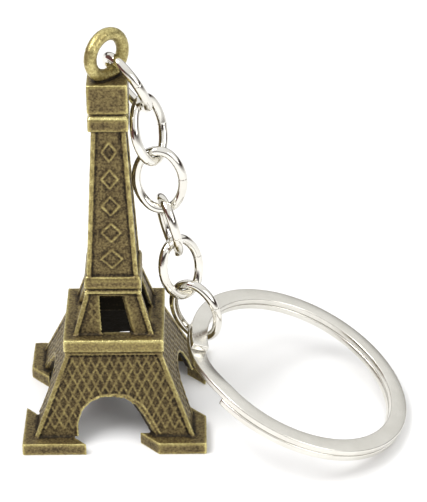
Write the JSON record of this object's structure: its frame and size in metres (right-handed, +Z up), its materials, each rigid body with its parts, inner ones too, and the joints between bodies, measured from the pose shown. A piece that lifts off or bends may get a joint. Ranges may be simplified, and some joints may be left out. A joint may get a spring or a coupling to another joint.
{
  "type": "tower charm keychain",
  "caption": "Keychain: a hollow lattice-tower charm on four arched legs, with a cable chain from its top loop to a flat split key ring.",
  "frame": {"origin": "on the ground under the middle of the whole keychain as it stands", "axes": "+Z up the tower, +X from the tower towards the key ring, the tower's front face looks along -Y"},
  "size_m": [0.0456, 0.028, 0.0494],
  "materials": {
    "antique_bronze": "antiqued cast, dark recesses, rubbed edges",
    "nickel_wire": "bright nickel plate"
  },
  "bodies": {
    "tower_casting": {"tower_casting": "antique_bronze"},
    "chain_link_1": {"chain_link_1": "nickel_wire"},
    "chain_link_2": {"chain_link_2": "nickel_wire"},
    "chain_link_3": {"chain_link_3": "nickel_wire"},
    "chain_link_4": {"chain_link_4": "nickel_wire"},
    "chain_link_5": {"chain_link_5": "nickel_wire"},
    "chain_link_6": {"chain_link_6": "nickel_wire"},
    "split_ring": {"split_ring": "nickel_wire"}
  },
  "joints": [
    {"name": "link_1_round_loop", "type": "hinge", "parent": "tower_casting", "child": "chain_link_1", "pos_m": [-0.01207, 0.00297, 0.0463], "axis": [0.7071, -0.7071, 0], "range_deg": [0, 102]},
    {"name": "link_2_swing", "type": "hinge", "parent": "chain_link_1", "child": "chain_link_2", "pos_m": [-0.0087, 0.00339, 0.04036], "axis": [-0.424, -0.862, -0.278], "range_deg": [0, 90]},
    {"name": "link_3_swing", "type": "hinge", "parent": "chain_link_2", "child": "chain_link_3", "pos_m": [-0.0072, 0.00269, 0.03453], "axis": [-0.9627, 0.059, -0.2639], "range_deg": [-30, 10]},
    {"name": "link_4_swing", "type": "hinge", "parent": "chain_link_3", "child": "chain_link_4", "pos_m": [-0.00572, 0.00231, 0.02742], "axis": [0.9543, -0.058, 0.2931], "range_deg": [-90, 85]},
    {"name": "link_5_swing", "type": "hinge", "parent": "chain_link_4", "child": "chain_link_5", "pos_m": [-0.00499, 0.0036, 0.02143], "axis": [0.3688, -0.9034, -0.2189], "range_deg": [-5, 94]},
    {"name": "link_6_swing", "type": "hinge", "parent": "chain_link_5", "child": "chain_link_6", "pos_m": [-0.00335, 0.00327, 0.01541], "axis": [0.7271, 0.6701, 0.149], "range_deg": [-60, 20]},
    {"name": "ring_swing", "type": "hinge", "parent": "chain_link_6", "child": "split_ring", "pos_m": [-0.00115, 0.00256, 0.0097], "axis": [0.843, -0.341, 0.416], "range_deg": [-31, 42]}
  ]
}
